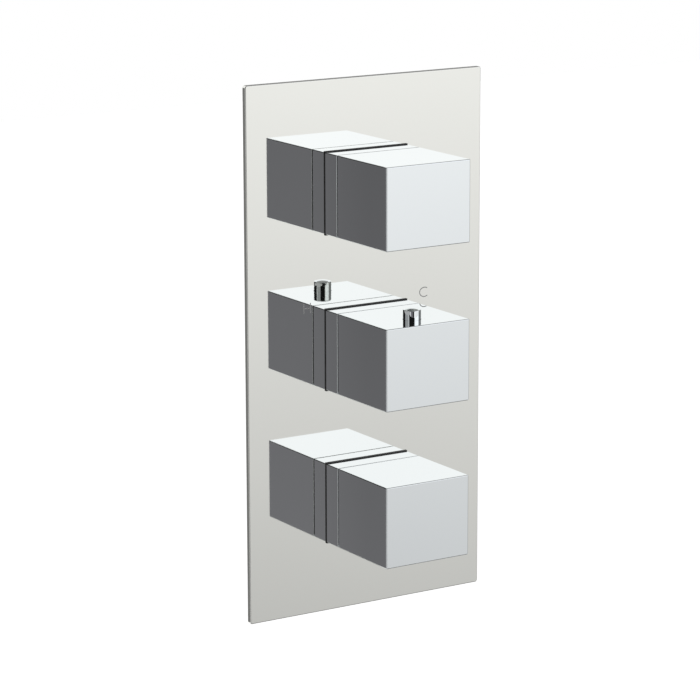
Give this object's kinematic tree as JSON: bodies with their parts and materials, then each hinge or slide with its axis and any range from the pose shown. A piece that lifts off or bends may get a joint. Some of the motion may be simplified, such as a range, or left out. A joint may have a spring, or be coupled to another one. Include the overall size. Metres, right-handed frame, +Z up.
{
  "type": "thermostatic shower valve",
  "caption": "Concealed thermostatic shower valve: tall mirror-polished cover plate with block handles for flow, one for temperature with an override button, brass body behind.",
  "frame": {"origin": "centre of the mounting bracket's back face, on the middle handle's axis", "axes": "+X right as seen by the user, +Y into the wall, +Z up; the handles point along -Y"},
  "size_m": [0.152, 0.1366, 0.3],
  "materials": {
    "polished_steel": "polished stainless steel sheet, mirror finish",
    "chrome": "bright chrome plate on brass",
    "brass": "raw cast and turned brass",
    "zinc_steel": "zinc-plated steel",
    "stainless": "stainless steel",
    "black_rubber": "black sealing rubber",
    "ceramic": "lapped white alumina ceramic",
    "plastic": "moulded dark acetal",
    "white_plastic": "moulded white acetal",
    "copper": "copper wax capsule"
  },
  "bodies": {
    "root": {"bottom_cartridge_bush": "brass", "bottom_collar": "chrome", "bottom_fixed_disc": "ceramic", "bottom_seat_seal": "black_rubber", "bottom_sleeve": "brass", "bracket_screws": "stainless", "cartridge_washers": "black_rubber", "cold_check_body": "plastic", "cold_filter": "stainless", "collar_seals": "black_rubber", "face_plate": "polished_steel", "hot_check_body": "plastic", "hot_filter": "stainless", "housing_orings": "black_rubber", "middle_collar": "chrome", "middle_sleeve": "brass", "mounting_bracket": "zinc_steel", "plate_seal": "black_rubber", "sleeve_orings": "black_rubber", "temperature_stop_ring": "plastic", "thermostatic_housing": "brass", "top_cartridge_bush": "brass", "top_collar": "chrome", "top_fixed_disc": "ceramic", "top_seat_seal": "black_rubber", "top_sleeve": "brass", "valve_body": "brass"},
    "top_handle_body": {"top_handle": "chrome", "top_grub_screw": "stainless", "top_adaptor": "white_plastic", "top_spindle": "brass", "top_spindle_clip": "stainless", "top_spindle_orings": "black_rubber", "top_moving_disc": "ceramic"},
    "bottom_handle_body": {"bottom_handle": "chrome", "bottom_grub_screw": "stainless", "bottom_adaptor": "white_plastic", "bottom_spindle": "brass", "bottom_spindle_clip": "stainless", "bottom_spindle_orings": "black_rubber", "bottom_moving_disc": "ceramic"},
    "temperature_handle_body": {"temperature_handle": "chrome", "temperature_grub_screw": "stainless", "temperature_adaptor": "white_plastic", "temperature_spindle": "brass", "temperature_spindle_clip": "stainless", "temperature_spindle_orings": "black_rubber", "override_spring": "stainless"},
    "button_body": {"override_button": "chrome"},
    "nut_body": {"regulating_nut": "plastic", "overload_spring": "stainless"},
    "thermostat_body": {"wax_thermostat": "copper", "shuttle": "plastic", "return_spring": "stainless"},
    "hot_check_body_group": {"hot_poppet": "white_plastic", "hot_check_spring": "stainless"},
    "cold_check_body_group": {"cold_poppet": "white_plastic", "cold_check_spring": "stainless"}
  },
  "joints": [
    {"name": "top_flow_turn", "type": "hinge", "parent": "root", "child": "top_handle_body", "pos_m": [0, -0.11, 0.0875], "axis": [0, -1, 0], "range_deg": [0, 90]},
    {"name": "bottom_flow_turn", "type": "hinge", "parent": "root", "child": "bottom_handle_body", "pos_m": [0, -0.11, -0.0875], "axis": [0, -1, 0], "range_deg": [0, 90]},
    {"name": "temperature_turn", "type": "hinge", "parent": "root", "child": "temperature_handle_body", "pos_m": [0, -0.11, 0], "axis": [0, -1, 0], "range_deg": [-60, 60]},
    {"name": "override_press", "type": "slide", "parent": "temperature_handle_body", "child": "button_body", "axis": [0, 0, -1], "range_m": [0, 0.003], "stiffness_N_per_m": 900, "springref_m": -0.002, "deforming": ["override_spring"]},
    {"name": "regulator_slide", "type": "slide", "parent": "root", "child": "nut_body", "axis": [0, -1, 0], "range_m": [-0.00095, 0.00095], "deforming": ["overload_spring"]},
    {"name": "thermostat_slide", "type": "slide", "parent": "root", "child": "thermostat_body", "axis": [0, -1, 0], "range_m": [-0.0005, 0.0005], "stiffness_N_per_m": 4000, "deforming": ["return_spring"]},
    {"name": "hot_check_slide", "type": "slide", "parent": "root", "child": "hot_check_body_group", "axis": [1, 0, 0], "range_m": [0, 0.0018], "stiffness_N_per_m": 300, "springref_m": -0.001, "deforming": ["hot_check_spring"]},
    {"name": "cold_check_slide", "type": "slide", "parent": "root", "child": "cold_check_body_group", "axis": [-1, 0, 0], "range_m": [0, 0.0018], "stiffness_N_per_m": 300, "springref_m": -0.001, "deforming": ["cold_check_spring"]}
  ],
  "couplings": [
    {"joint": "regulator_slide", "follows": "temperature_turn", "m_per_rad": 0.00085944}
  ]
}
